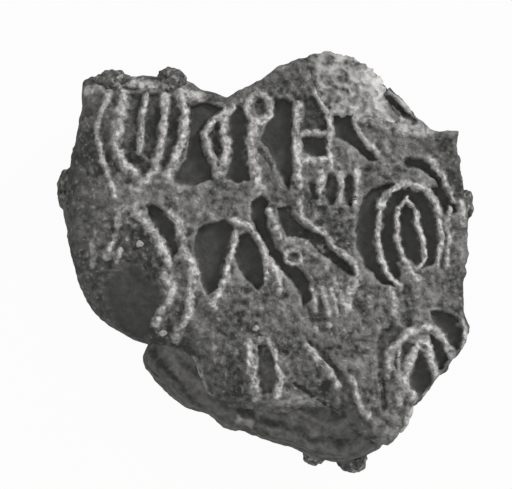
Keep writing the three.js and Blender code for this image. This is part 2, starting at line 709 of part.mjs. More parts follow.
const lumps = [
  { name: "rim_pellet_left", pixel: [108, 78], radii: pelletRadii, on: faceRim },
  { name: "rim_pellet_right", pixel: [169, 79], radii: roundPelletRadii, on: faceRim },
  { name: "right_side_flake", pixel: [465, 207], radii: sideFlakeRadii, on: faceSide },
  { name: "left_side_crumb", pixel: [65, 188], radii: sideCrumbRadii, on: backingBelly },
  { name: "foot_crumb_small", pixel: [317, 456], radii: footCrumbRadii, on: backingBelly },
  { name: "foot_crumb_large", pixel: [354, 462], radii: bigFootCrumbRadii, on: backingBelly },
];
lumps.forEach((piece) => addPiece(piece.name, stuckLump(piece), piece.on.look));
faceGrit.forEach((piece, i) => addPiece(`grit_grain_${i + 1}`, piece.grain, quartz));

// The origin lies under the middle of the whole find, at the level of the resting face.
const extent = new THREE.Box3().setFromObject(bulla);
const middle = extent.getCenter(new THREE.Vector3());
bulla.children.forEach((piece) => piece.position.set(-middle.x, -middle.y, -extent.min.z));

export default bulla;
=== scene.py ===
"""A clay bulla lying on its back on white paper, seen from straight above its face."""
import math
from itertools import product

import bpy
import numpy as np
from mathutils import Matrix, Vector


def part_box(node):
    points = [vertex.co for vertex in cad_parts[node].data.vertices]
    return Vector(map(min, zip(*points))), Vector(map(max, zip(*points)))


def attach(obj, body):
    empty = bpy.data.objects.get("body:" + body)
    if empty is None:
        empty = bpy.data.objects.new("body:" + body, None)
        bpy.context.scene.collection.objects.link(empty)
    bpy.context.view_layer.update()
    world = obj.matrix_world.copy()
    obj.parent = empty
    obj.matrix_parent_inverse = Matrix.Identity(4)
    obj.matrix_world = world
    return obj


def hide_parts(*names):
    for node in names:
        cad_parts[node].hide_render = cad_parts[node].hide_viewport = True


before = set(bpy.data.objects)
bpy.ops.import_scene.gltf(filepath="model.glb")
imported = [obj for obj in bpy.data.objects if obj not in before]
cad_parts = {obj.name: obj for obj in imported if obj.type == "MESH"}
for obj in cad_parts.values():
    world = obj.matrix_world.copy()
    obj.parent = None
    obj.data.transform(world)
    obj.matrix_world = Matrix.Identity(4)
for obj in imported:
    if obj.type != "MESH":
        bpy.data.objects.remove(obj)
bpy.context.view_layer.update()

# The backing pad is the clay that was laid under the cord. It was pressed flat on a board, its
# flanks are thumbed round, and along the lower left it wells up against the face pad's edge.
# Places are pixels of the straight-down photograph. The face pad's box says where a pixel lies.
MM = 0.001
middle_px = np.array([265.5, 261.5])
face_left_px, face_top_px, face_right_px = 66, 52, 468
face_low, face_high = (np.array(corner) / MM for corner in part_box("face_pad"))
pixel = (face_high[0] - face_low[0]) / (face_right_px - face_left_px)
middle = np.array([
    face_low[0] + (middle_px[0] - face_left_px) * pixel,
    face_high[1] - (middle_px[1] - face_top_px) * pixel,
])
backing_px = [
    (458, 235), (456, 190), (449, 150), (440, 140), (415, 128), (392, 108), (372, 80), (345, 66),
    (322, 64), (290, 72), (262, 90), (228, 105), (196, 98), (170, 88), (140, 86), (105, 86),
    (92, 92), (88, 115), (84, 140), (76, 160), (66, 185), (62, 205), (65, 230), (70, 252),
    (77, 275), (84, 295), (94, 313), (107, 326), (123, 336), (139, 343), (146, 346), (142, 357),
    (145, 370), (156, 383), (171, 396), (185, 406), (199, 413), (212, 419), (223, 429), (235, 433),
    (245, 432), (257, 438), (274, 444), (291, 449), (304, 454), (317, 460), (334, 463), (350, 464),
    (364, 458), (374, 452), (388, 446), (398, 428), (408, 408), (428, 386), (450, 355), (460, 335),
    (456, 310), (457, 275),
]
apron_clumps_px = [(238, 419), (249, 425), (262, 415), (204, 398)]
face_px = [
    (468, 215), (464, 192), (460, 170), (457, 145), (457, 132), (447, 131), (438, 132), (430, 128),
    (421, 121), (413, 116), (407, 105), (399, 97), (390, 92), (384, 84), (375, 73), (362, 64),
    (345, 58), (329, 52), (314, 57), (300, 60), (286, 64), (273, 71), (262, 80), (250, 87),
    (238, 91), (227, 98), (213, 93), (201, 90), (193, 83), (182, 79), (170, 78), (158, 77),
    (146, 76), (132, 76), (120, 78), (106, 77), (92, 77), (83, 84), (81, 97), (81, 110), (78, 128),
    (75, 145), (71, 160), (68, 175), (66, 195), (66, 215), (67, 235), (71, 255), (75, 270),
    (79, 288), (88, 304), (100, 319), (117, 329), (134, 337), (148, 342), (166, 346), (182, 350),
    (192, 358), (199, 374), (206, 392), (222, 402), (242, 408), (262, 411), (282, 414), (300, 409),
    (318, 406), (334, 410), (346, 423), (360, 434), (374, 443), (388, 446), (398, 436), (404, 422),
    (412, 408), (424, 396), (434, 380), (446, 367), (459, 352), (467, 339), (468, 326), (464, 312),
    (463, 290), (463, 265), (466, 240),
]
joint = face_low[2]
line_height = 0.68
crown = face_high[2] - line_height
face_drop, face_drop_swing = 1.9, 1.6
face_drop_facing = math.radians(225)
tunnel_radius = 3.2
rest_face_share = 0.76
apron_facing = math.radians(257)
apron_rise = 3.6
apron_fall = 0.7
apron_start, apron_full_width = 0.2, 1.4
apron_step = 0.15
apron_tuck = 0.5
apron_edge_inset = 0.8
lump_size, layer_size, grain_size, fold_size, curd_size = 3.5, 0.8, 0.6, 0.9, 1.1
fold_stretch = 9
bed_hollow, bed_hollow_size = 0.12, 6
# How many rings of points each part has, and the share of its climb where the flank is widest.
bed_rings, flank_rings, apron_rings = 14, 45, 25
bed_start = 0.03
bench_shares = (0.98, 0.93, 0.84, 0.7, 0.5, 0.3, 0.1)
flank_widest = 0.6


def from_middle(spots_px):
    """Pixels to millimetres from the find's middle: across to the right and up the photograph."""
    return (np.asarray(spots_px, float) - middle_px) * pixel * (1, -1)


def to_pixels(spots):
    """The way back from from_middle: pixels across and down for each place in millimetres."""
    return np.moveaxis(spots[..., :2] / pixel * (1, -1) + middle_px, -1, 0)


def smooth(low, high, value):
    """0 below low and 1 above high, eased between them: 3t^2 - 2t^3."""
    t = np.clip((value - low) / (high - low), 0, 1)
    return t * t * (3 - 2 * t)


def tilted(points):
    """Places turned by a radian about X and then about Z, so that no lattice shows its rows."""
    turn = np.array([[math.cos(1), -math.sin(1)], [math.sin(1), math.cos(1)]])
    turned = np.array(points, float)
    turned[..., 1:] = turned[..., 1:] @ turn
    turned[..., :2] = turned[..., :2] @ turn
    return turned


def rough(points, size, seed):
    """Random numbers from -1 to 1 at the corners of a tilted lattice, blended with eased
    weights."""
    cells = np.array((64, 64, 64))
    lattice = np.random.default_rng(seed).uniform(-1, 1, cells)
    steps = tilted(points) / size
    corner = np.floor(steps).astype(int)
    part = smooth(0, 1, steps - corner)
    total = 0
    for offset in product((0, 1), repeat=3):
        x, y, z = np.moveaxis((corner + offset) % cells, -1, 0)
        total = total + lattice[x, y, z] * np.prod(np.where(offset, part, 1 - part), axis=-1)
    return total


def rougher(points, size, seed, octaves=3):
    """rough at a size plus each halving of it, every one half as strong as the one before."""
    return sum(rough(points, size / 2**octave, seed + octave) / 2**octave
               for octave in range(octaves))


def pebbles(points, size, seed):
    """Domes on random spots, one spot to a square: 1 less the squared distance to the nearest."""
    cells = 128
    shift = np.random.default_rng(seed).uniform(0.1, 0.9, (cells, cells, 2))
    steps = points[..., :2] / size
    corner = np.floor(steps).astype(int)
    nearest = np.ones(steps.shape[:-1])
    for offset in product((-1, 0, 1), repeat=2):
        x, y = np.moveaxis((corner + offset) % cells, -1, 0)
        spot = corner + offset + shift[x, y]
        nearest = np.minimum(nearest, ((steps - spot) ** 2).sum(axis=-1))
    return 1 - nearest


def reach(outline_px, turn, centre=(0, 0)):
    """How far an outline lies from a centre at each turn, read between its corners by angle."""
    out = from_middle(outline_px) - centre
    angle = np.arctan2(out[:, 1], out[:, 0])
    return np.interp(turn, angle, np.hypot(*out.T), period=2 * math.pi)


def heading(turn):
    """The unit step at each turn."""
    return np.stack([np.cos(turn), np.sin(turn)], axis=-1)


def face_fall(turn):
    """How far the face falls from its crown to its rim, most of all towards the lower left."""
    return face_drop + face_drop_swing * np.cos(turn - face_drop_facing)


def arch(across):
    """Height of the cord's round tunnel above its axis, at a distance across it."""
    return np.sqrt(np.clip(tunnel_radius**2 - across**2, 0, None))


def ring_quads(rows, columns, first=0):
    """Quads between rings of like count. They face out where the rings run anticlockwise seen
    from the side that they climb to."""
    row, column = np.meshgrid(np.arange(rows - 1), np.arange(columns), indexing="ij")
    onward = (column + 1) % columns
    corners = [row * columns + column, row * columns + onward,
               (row + 1) * columns + onward, (row + 1) * columns + column]
    return first + np.stack(corners, axis=-1).reshape(-1, 4)


def fan(ring, centre):
    """Triangles from a ring to one point, facing the side from which the ring is anticlockwise."""
    return np.stack([ring, np.roll(ring, -1), np.full(len(ring), centre)], axis=-1)


def closed_rings(rows, columns):
    """The faces of a stack of climbing rings, with a fan that closes each end. The lower and the
    upper end point follow the rings."""
    count = rows * columns
    ring = np.arange(columns)
    ends = [fan(ring[::-1], count), fan(count - columns + ring, count + 1)]
    return [ring_quads(rows, columns), *ends]


def add_piece(name, points, faces, masks, node):
    """A smooth mesh from points in millimetres about the find's middle, with masks as point
    attributes. It rides on the only body and stands for its frame node."""
    placed = (np.asarray(points) + (*middle, 0)) * MM
    mesh = bpy.data.meshes.new(name)
    mesh.from_pydata(placed, [], [side for block in faces for side in block.tolist()])
    for key, values in masks.items():
        layer = mesh.attributes.new(key, "FLOAT", "POINT")
        layer.data.foreach_set("value", np.asarray(values, np.float32).ravel())
    mesh.shade_smooth()
    piece = bpy.data.objects.new(name, mesh)
    bpy.context.scene.collection.objects.link(piece)
    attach(piece, "root")
    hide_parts(node)
    return piece


def make_backing():
    """Rings about the middle, from below: a flat bed, a flank that swells as a sine and draws in
    again, the apron's slope up to the face pad's rim, and the bench that the cord lay in."""
    turn = np.linspace(-math.pi, math.pi, 960, endpoint=False)
    around = heading(turn)
    rim = reach(backing_px, turn)
    face_rim = reach(face_px, turn)
    shown = smooth(apron_start, apron_full_width, rim - face_rim)
    lip = apron_rise * np.clip(np.cos(turn - apron_facing), 0, None) ** 2
    seam = np.maximum(joint + lip, crown - face_fall(turn) - apron_step)
    top = joint + (seam - joint) * shown
    top = np.where(shown > 0, top, joint - arch(rim * around[:, 1]))
    inner = np.minimum(face_rim - apron_tuck, rim - 2 * apron_edge_inset)

    bed_shares = np.linspace(bed_start, rest_face_share, bed_rings)
    bed = [(rim * share, 0 * rim) for share in bed_shares]
    flank = []
    for t in np.linspace(0, 1, flank_rings + 1)[1:]:
        swell = math.sin(math.pi / 2 * min(1, t / flank_widest)) ** 0.8
        inset = (1 - rest_face_share) * rim * (1 - swell)
        inset = inset + apron_edge_inset * smooth(flank_widest, 1, t) ** 2
        height = (top - apron_fall * shown) * (1 - math.cos(math.pi / 2 * t)) ** 0.62
        flank.append((rim - inset, height))
    edge_reach, edge_height = flank[-1]
    apron = []
    for t in np.linspace(0, 1, apron_rings + 1)[1:]:
        height = edge_height + (top - edge_height) * t**0.8
        apron.append((edge_reach + (inner - edge_reach) * t, height))
    bench = [(inner * share, np.minimum(top, joint)) for share in bench_shares]
    rows = bed + flank + apron + bench
    bare_rows = len(rows) - len(bench)
    radius = np.array([row[0] for row in rows])
    height = np.array([row[1] for row in rows])
    groove = joint - arch(radius[bare_rows:] * around[:, 1])
    height[bare_rows:] = np.minimum(height[bare_rows:], groove)
    points = np.concatenate([radius[..., None] * around, height[..., None]], axis=-1)

    level = np.arange(len(rows))
    below_bench = bare_rows - 1 - level
    on_flank = smooth(0, 4, level - len(bed)) * smooth(0, len(apron), below_bench)
    on_apron = smooth(0, 6, level - len(bed) - len(flank) + 4) * smooth(0, 3, below_bench)
    lumps = rougher(points, lump_size, seed=12)
    layers = rougher(points * (0.3, 0.3, 1.6), layer_size, seed=11)
    grains = pebbles(points, grain_size, seed=13) - 0.6 + 0.4 * rough(points, grain_size, seed=14)
    inwards = rim - radius + 0.5 * lumps
    from_rim = np.stack([inwards, radius * turn / fold_stretch, 0 * radius], axis=-1)
    folds = rougher(from_rim, fold_size, seed=15, octaves=2)
    push = (0.3 * lumps + 0.16 * layers + 0.06 * grains) * on_flank[:, None]
    points[..., :2] += push[..., None] * around
    curds = rougher(points, curd_size, seed=17, octaves=2)
    x, y = to_pixels(points)
    clump = sum(1 - smooth(2, 9, np.hypot(x - spot_x, y - spot_y))
                for spot_x, spot_y in apron_clumps_px)
    clump = clump * smooth(-0.4, 0.5, curds)
    lift = 0.2 * lumps + 0.3 * folds + 0.25 * curds + 0.1 * grains + 0.3 * clump
    points[..., 2] += lift * on_apron[:, None] * shown
    hollows = bed_hollow * np.clip(rougher(points, bed_hollow_size, seed=16), 0, None)
    hollows = hollows + 0.03 * np.clip(grains, 0, None)
    points[:len(bed), :, 2] += hollows[:len(bed)]

    ends = [[0, 0, 0], [0, 0, joint - tunnel_radius]]
    points = np.concatenate([points.reshape(-1, 3), ends])
    faces = closed_rings(len(rows), len(turn))
    streak = np.where(on_apron[:, None] > 0, folds + 2 * clump, layers)
    masks = {"streak": 0.5 + 0.5 * np.append(streak, [0, 0])}
    return add_piece("backing_clay", points, faces, masks, "backing_pad")


class Wire:
    """A value in a node tree. Python's operators on it add Math nodes."""

    def __init__(self, tree, socket):
        self.tree = tree
        self.socket = socket

    def maths(self, operation, *values):
        return self.tree.add("ShaderNodeMath", {"operation": operation}, dict(enumerate(values)))

    def at_least(self, other):
        return self.maths("MAXIMUM", self, other)

    def __add__(self, other):
        return self.maths("ADD", self, other)

    def __radd__(self, other):
        return self.maths("ADD", other, self)

    def __sub__(self, other):
        return self.maths("SUBTRACT", self, other)

    def __rsub__(self, other):
        return self.maths("SUBTRACT", other, self)

    def __mul__(self, other):
        return self.maths("MULTIPLY", self, other)

    def __rmul__(self, other):
        return self.maths("MULTIPLY", other, self)


class Tree:
    """The nodes of a material or of the world."""

    def __init__(self, owner):
        owner.use_nodes = True
        self.nodes = owner.node_tree.nodes
        self.links = owner.node_tree.links

    def fill(self, node, sockets):
        """Gives a node's sockets their values, or links them to wires."""
        for key, value in sockets.items():
            if isinstance(value, Wire):
                self.links.new(value.socket, node.inputs[key])
            else:
                node.inputs[key].default_value = value

    def add(self, kind, settings, sockets, output=0):
        """One node of a kind. Its settings are set first, and a ramp's stops are one of them."""
        node = self.nodes.new(kind)
        for key, value in settings.items():
            if key == "stops":
                for stop, (position, grey) in zip(node.color_ramp.elements, value):
                    stop.position = position
                    stop.color = (grey, grey, grey, 1)
            else:
                setattr(node, key, value)
        self.fill(node, sockets)
        return Wire(self, node.outputs[output])


class Finish(Tree):
    """A procedural material under one Principled shader, laid out in the object's millimetres."""

    def __init__(self, name):
        self.material = bpy.data.materials.new(name)
        super().__init__(self.material)
        self.shader = self.nodes["Principled BSDF"]
        self.fill(self.shader, {"Specular IOR Level": 0.2})
        spot = self.add("ShaderNodeTexCoord", {}, {}, "Object")
        self.spot = self.add("ShaderNodeMapping", {}, {"Vector": spot, "Scale": [1 / MM] * 3})

    def mask(self, name):
        return self.add("ShaderNodeAttribute", {"attribute_name": name}, {}, "Fac")

    def noise(self, size, detail=2.0):
        sockets = {"Vector": self.spot, "Scale": 1 / size, "Detail": detail, "Roughness": 0.6}
        return self.add("ShaderNodeTexNoise", {}, sockets)

    def specks(self, size, low, high):
        """1 where a noise is above high and 0 where it is below low."""
        stops = [(low, 0), (high, 1)]
        return self.add("ShaderNodeValToRGB", {"stops": stops}, {"Fac": self.noise(size, 1.0)})

    def feed(self, tone, roughness, height, depth):
        """Gives the shader a tone of faintly warm grey, a roughness and a bump. A Mix node takes
        colours at its sockets 6 and 7 and gives one at 2."""
        black = (0, 0, 0, 1)
        warm_grey = (1, 0.985, 0.96, 1)
        darkest = 0.045
        colour = self.add("ShaderNodeMix", {"data_type": "RGBA", "clamp_factor": False},
                          {0: tone.at_least(darkest), 6: black, 7: warm_grey}, 2)
        bump = self.add("ShaderNodeBump", {},
                        {"Height": height, "Strength": 1.0, "Distance": depth * MM})
        self.fill(self.shader, {"Base Color": colour, "Roughness": roughness, "Normal": bump})


backing = make_backing()
backing_clay = Finish("backing_clay")
mottle = backing_clay.noise(0.9)
speckle = backing_clay.noise(0.7, 1.0)
grain = backing_clay.noise(0.6, 1.0)
patches = backing_clay.noise(4.0)
streak = backing_clay.mask("streak")
backing_clay.feed(
    tone=0.14 * mottle + 0.12 * speckle + 0.1 * patches + 0.14 * streak - 0.135,
    roughness=0.8 + 0.15 * grain,
    height=0.3 * grain + mottle,
    depth=0.3,
)
backing.data.materials.append(backing_clay.material)


# The face pad is finer clay, closed over the cord and pressed down on the backing pad. A cut stone
# rolled over it left raised lines standing in sunk fields. The lines are worn and grainy, and the
# floors are smooth.
def disc_grid(rings):
    """A square grid pressed into a disc, so that its squares turn into rings. The share of the
    reach is the greater of |u| and |v|. The turn goes with the lesser over the greater."""
    steps = np.linspace(-1, 1, 2 * rings + 1)
    u, v = np.meshgrid(steps, steps, indexing="xy")
    sideways = np.abs(u) >= np.abs(v)
    out = np.where(sideways, u, v)
    safe = np.where(out == 0, 1, out)
    turn = np.where(sideways, v / safe, 2 - u / safe) * math.pi / 4
    side = len(steps)
    index = np.arange(side * side).reshape(side, side)
    quads = np.stack([index[:-1, :-1], index[:-1, 1:], index[1:, 1:], index[1:, :-1]], axis=-1)
    edge = np.concatenate([index[0, :-1], index[:-1, -1], index[-1, :0:-1], index[:0:-1, 0]])
    turn = np.arctan2(out * np.sin(turn), out * np.cos(turn))
    return np.abs(out).ravel(), turn.ravel(), quads.reshape(-1, 4), edge


def collar(edge, first):
    """Quads from a disc grid's edge to the ring of points that starts at first."""
    ring = first + np.arange(len(edge))
    return np.stack([ring, np.roll(ring, -1), np.roll(edge, -1), edge], axis=-1)


def curve(spots, steps=6):
    """A smooth path through spots: between two of them a cubic that runs along their neighbours."""
    spots = np.asarray(spots, float)
    before = np.vstack([2 * spots[0] - spots[1], spots[:-1]])
    after = np.vstack([spots[1:], 2 * spots[-1] - spots[-2]])
    lean = (after - before) / 2
    t = np.linspace(0, 1, steps, endpoint=False)[:, None, None]
    path = ((2 * t**3 - 3 * t**2 + 1) * spots[:-1] + (t**3 - 2 * t**2 + t) * lean[:-1]
            + (3 * t**2 - 2 * t**3) * spots[1:] + (t**3 - t**2) * lean[1:])
    return np.vstack([path.transpose(1, 0, 2).reshape(-1, 2), spots[-1:]])


def oval(centre, reaches, start=0, end=360):
    """Part of an upright ellipse in pixels, between two angles in degrees."""
    angle = np.radians(np.linspace(start, end, 32))
    return np.asarray(centre) + np.stack([np.cos(angle), -np.sin(angle)], axis=-1) * reaches


def distance_to(path, x, y):
    """The least distance from each place to the straight stretches of a path."""
    nearest = np.full(x.shape, np.inf)
    for (ax, ay), (bx, by) in zip(path[:-1], path[1:]):
        run_x, run_y = bx - ax, by - ay
        length_squared = max(run_x**2 + run_y**2, 1e-9)
        t = np.clip(((x - ax) * run_x + (y - ay) * run_y) / length_squared, 0, 1)
        nearest = np.minimum(nearest, np.hypot(x - ax - t * run_x, y - ay - t * run_y))
    return nearest


def depth_inside(outline, x, y):
    """How far inside an outline a place lies, below 0 outside: the distance to it, with the sign
    from counting the sides that a ray from the place crosses."""
    outline = np.asarray(outline, float)
    inside = np.zeros(x.shape, bool)
    for (ax, ay), (bx, by) in zip(outline, np.roll(outline, -1, axis=0)):
        rise = by - ay if by != ay else 1e-9
        inside ^= ((ay > y) != (by > y)) & (x < (bx - ax) * (y - ay) / rise + ax)
    distance = distance_to(np.vstack([outline, outline[:1]]), x, y)
    return np.where(inside, distance, -distance)


# Raised lines, row by row: the path, half the width in pixels and the height in millimetres.
raised_lines_px = [
    (curve([(110, 89), (103, 110), (97, 132), (101, 153), (107, 174), (115, 197)]), 3.0, 0.45),
    (curve([(123, 91), (123, 105), (119, 122), (116, 138), (118, 151), (124, 163), (134, 173)]),
     5.4, 0.4),
    (curve([(146, 94), (143, 117), (142, 135), (140, 152)]), 2.6, 0.55),
    (curve([(166, 95), (165, 115), (163, 133), (160, 150), (155, 168)]), 4.4, 0.65),
    (curve([(182, 96), (184, 112), (184, 127), (180, 145), (175, 161), (167, 177)]), 5.0, 0.7),
    (curve([(138, 190), (146, 181), (151, 172)]), 4.0, 0.3),
    (curve([(88, 92), (100, 86), (122, 83), (150, 85), (172, 84), (184, 90)]), 6.0, 0.35),
    (curve([(182, 88), (190, 93), (198, 97)]), 6.0, 0.45),
    (curve([(229, 108), (217, 118), (206, 131), (207, 144), (213, 157), (219, 173)]), 3.4, 0.6),
    (curve([(232, 107), (223, 117), (223, 132), (228, 148), (225, 160), (219, 174)]), 4.8, 0.65),
    (curve([(252, 127), (251, 140), (251, 151), (254, 164), (258, 186)]), 5.8, 0.65),
    (oval((259, 109), (12, 14)), 3.6, 0.5),
    (curve([(297, 105), (297, 125), (298, 153), (298, 184)]), 4.6, 0.7),
    (curve([(315, 92), (322, 105), (328, 118), (330, 135), (330, 166)]), 3.2, 0.5),
    (curve([(302, 134), (329, 131)]), 3.0, 0.35),
    (curve([(303, 161), (330, 161)]), 3.2, 0.35),
    (curve([(354, 110), (357, 130), (366, 142), (378, 153)]), 3.0, 0.45),
    (curve([(322, 173), (320, 187), (318, 203)]), 3.4, 0.5),
    (curve([(340, 175), (341, 186), (338, 202)]), 3.4, 0.45),
    (curve([(358, 171), (357, 186), (354, 203)]), 3.4, 0.5),
    (oval((409, 236), (31.5, 52), -34, 252), 3.3, 0.65),
    (curve([(380, 206), (385, 196), (391, 190), (400, 186)]), 4.6, 0.4),
    (curve([(411, 185), (424, 189), (433, 200), (438, 216)]), 4.4, 0.4),
    (curve([(406, 200), (397, 212), (396, 235), (400, 251), (407, 266), (418, 278)]), 3.4, 0.65),
    (curve([(406, 200), (415, 212), (418, 230), (422, 243), (423, 257), (418, 267)]), 3.2, 0.65),
    (curve([(428, 161), (436, 168), (443, 178), (449, 189), (454, 202)]), 3.6, 0.4),
    (curve([(449, 208), (447, 228), (447, 248), (446, 266)]), 2.6, 0.4),
    (curve([(170, 212), (177, 222), (181, 235), (184, 246), (188, 256), (193, 266), (192, 285),
            (190, 303), (187, 318), (181, 330), (176, 339)]), 4.6, 0.45),
    (curve([(136, 210), (146, 224), (156, 237), (163, 249), (168, 261)]), 5.0, 0.4),
    (curve([(166, 276), (171, 287), (169, 300), (161, 313), (156, 324)]), 4.4, 0.45),
    (curve([(118, 220), (117, 235), (111, 247), (107, 256)]), 3.6, 0.5),
    (curve([(116, 262), (121, 250)]), 3.0, 0.4),
    (curve([(118, 218), (124, 208), (136, 210)]), 3.6, 0.2),
    (curve([(96, 228), (93, 246), (93, 266)]), 2.8, 0.2),
    (curve([(235, 235), (231, 255), (226, 275), (220, 290), (213, 306)]), 4.4, 0.65),
    (curve([(236, 220), (249, 228), (259, 240), (266, 256), (266, 277)]), 3.4, 0.55),
    (curve([(266, 256), (275, 264), (279, 278), (281, 293)]), 3.4, 0.5),
    (curve([(270, 211), (274, 224), (279, 237)]), 4.0, 0.65),
    (curve([(299, 204), (303, 216), (312, 225), (322, 232), (334, 246), (345, 255), (353, 265),
            (359, 277)]), 3.0, 0.45),
    (curve([(285, 240), (303, 245), (320, 257), (337, 280)]), 5.5, 0.2),
    (oval((293, 257), (8, 7)), 2.4, 0.4),
    (curve([(336, 283), (341, 296), (346, 312)]), 4.2, 0.5),
    (curve([(357, 277), (350, 289), (346, 312)]), 4.6, 0.6),
    (curve([(313, 290), (315, 311)]), 2.4, 0.3),
    (curve([(322, 287), (328, 314)]), 2.4, 0.3),
    (curve([(331, 289), (338, 315)]), 2.4, 0.35),
    (curve([(249, 344), (250, 362), (254, 378), (256, 397)]), 5.0, 0.65),
    (curve([(259, 338), (269, 340), (276, 359), (280, 377), (277, 396)]), 3.2, 0.45),
    (curve([(388, 368), (390, 352), (398, 341), (407, 333), (418, 328), (427, 327), (438, 332),
            (446, 343), (451, 358)]), 4.0, 0.55),
    (curve([(421, 341), (414, 354), (409, 366), (404, 376), (405, 387), (412, 397)]), 4.4, 0.5),
    (curve([(421, 341), (427, 345), (430, 358), (436, 373)]), 4.2, 0.55),
    (curve([(462, 322), (465, 334), (464, 346)]), 3.6, 0.35),
    (curve([(459, 199), (462, 211), (463, 223)]), 2.6, 0.3),
    (curve([(309, 345), (318, 356), (329, 369), (338, 386)]), 3.2, 0.3),
    (curve([(352, 380), (357, 395), (361, 410), (368, 415)]), 3.4, 0.3),
    (curve([(397, 340), (399, 372), (400, 405)]), 3.0, 0.25),
    (curve([(195, 359), (201, 373), (205, 390), (213, 401)]), 3.2, 0.2),
    (curve([(290, 401), (303, 399), (316, 402)]), 5.0, 0.2),
    (curve([(272, 404), (284, 402)]), 4.0, 0.15),
    (curve([(388, 290), (396, 300), (394, 314)]), 3.0, 0.3),
]
# Sunk fields: the outline in pixels, the depth in millimetres and the softness of the wall.
sunk_fields_px = [
    ([(104, 100), (118, 95), (113, 125), (114, 158), (122, 172), (112, 178), (104, 160),
      (100, 132)], 0.42, 3.2),
    ([(128, 94), (142, 94), (139, 118), (136, 152), (150, 166), (143, 176), (128, 164), (121, 146),
      (124, 118)], 0.68, 2.5),
    ([(148, 94), (161, 94), (160, 118), (156, 148), (150, 160), (144, 154), (146, 120)], 0.72, 2.5),
    ([(169, 97), (179, 97), (179, 128), (174, 150), (164, 170), (160, 166), (166, 132)], 0.77, 2.5),
    ([(190, 106), (206, 103), (222, 108), (210, 118), (200, 132), (202, 148), (210, 166),
      (213, 178), (196, 186), (174, 182), (172, 178), (186, 160), (190, 132)], 1.15, 2.5),
    ([(236, 106), (248, 112), (249, 130), (247, 150), (250, 180), (236, 184), (226, 178),
      (232, 158), (229, 134), (229, 118)], 1.15, 2.5),
    ([(215, 122), (219, 128), (220, 138), (224, 150), (220, 160), (213, 148),
      (210, 134)], 0.77, 2.0),
    (oval((260, 108), (4.5, 8)), 0.72, 2.0),
    ([(276, 98), (291, 104), (293, 165), (288, 187), (278, 173), (270, 153), (260, 139), (266, 128),
      (272, 115)], 1.19, 2.5),
    ([(304, 100), (318, 97), (328, 118), (328, 130), (304, 130)], 0.72, 3.0),
    ([(303, 138), (330, 136), (329, 156), (316, 158), (304, 151)], 1.15, 2.0),
    ([(333, 115), (352, 114), (355, 132), (364, 145), (377, 159), (368, 161), (352, 146),
      (336, 137)], 1.1, 2.0),
    (oval((313, 190), (4, 9)), 0.34, 3.1),
    (oval((331, 190), (6.5, 15)), 0.85, 2.0),
    (oval((349, 191), (6.5, 16)), 0.85, 2.0),
    ([(372, 189), (386, 184), (402, 184), (418, 188), (430, 198), (437, 210), (440, 224),
      (441, 242), (438, 257), (430, 265), (420, 267), (408, 260), (396, 262), (400, 276),
      (394, 285), (382, 285), (374, 277), (365, 266), (358, 250), (356, 230), (359, 211),
      (365, 197)], 1.15, 2.8),
    ([(431, 189), (440, 186), (452, 198), (455, 212), (447, 216), (440, 204)], 1.1, 2.5),
    ([(147, 205), (156, 206), (166, 213), (173, 226), (179, 240), (177, 253), (171, 258),
      (164, 246), (154, 228)], 1.15, 2.5),
    ([(106, 268), (128, 258), (150, 272), (167, 287), (168, 305), (160, 322), (146, 338),
      (126, 334), (106, 320), (94, 300), (97, 280)], 0.38, 6.2),
    ([(173, 262), (181, 262), (188, 282), (187, 302), (180, 322), (172, 332), (165, 326),
      (174, 306), (177, 286)], 0.51, 3.8),
    ([(200, 228), (208, 222), (226, 221), (234, 228), (231, 250), (226, 272), (219, 288),
      (208, 293), (201, 280), (196, 255), (196, 238)], 1.27, 2.8),
    ([(238, 238), (248, 233), (258, 247), (263, 263), (263, 284), (258, 290), (248, 281),
      (240, 268), (235, 254)], 1.1, 2.2),
    ([(251, 202), (262, 197), (268, 202), (266, 215), (268, 230), (272, 242), (284, 257),
      (297, 268), (310, 281), (312, 300), (303, 306), (298, 290), (284, 272), (270, 257),
      (262, 240), (252, 222)], 1.15, 2.2),
    ([(278, 209), (290, 207), (294, 221), (308, 229), (320, 236), (330, 247), (340, 256),
      (350, 266), (353, 275), (344, 271), (332, 262), (320, 251), (306, 245), (294, 243),
      (286, 236), (281, 224)], 1.02, 2.2),
    ([(259, 345), (268, 344), (275, 362), (277, 380), (273, 393), (262, 394),
      (257, 370)], 0.81, 2.2),
    (oval((236, 368), (10, 24)), 0.34, 5.0),
    ([(430, 311), (443, 312), (457, 318), (463, 328), (465, 342), (456, 350), (445, 335),
      (434, 322)], 1.15, 2.2),
    ([(380, 330), (392, 326), (402, 329), (392, 341), (384, 352), (383, 370), (377, 366),
      (376, 346)], 0.72, 2.8),
    ([(396, 347), (405, 340), (413, 344), (405, 358), (399, 372), (394, 366)], 0.77, 2.2),
    ([(429, 335), (438, 338), (446, 350), (448, 361), (440, 372), (434, 362),
      (431, 348)], 1.1, 2.2),
    ([(420, 350), (415, 364), (408, 378), (409, 389), (419, 397), (431, 386), (432, 374),
      (427, 364), (424, 352)], 1.19, 2.2),
    ([(309, 338), (316, 343), (326, 352), (336, 364), (346, 378), (354, 394), (358, 410),
      (368, 422), (377, 438), (366, 440), (352, 430), (343, 418), (339, 400), (337, 386),
      (329, 371), (318, 357), (309, 346)], 0.72, 3.0),
]
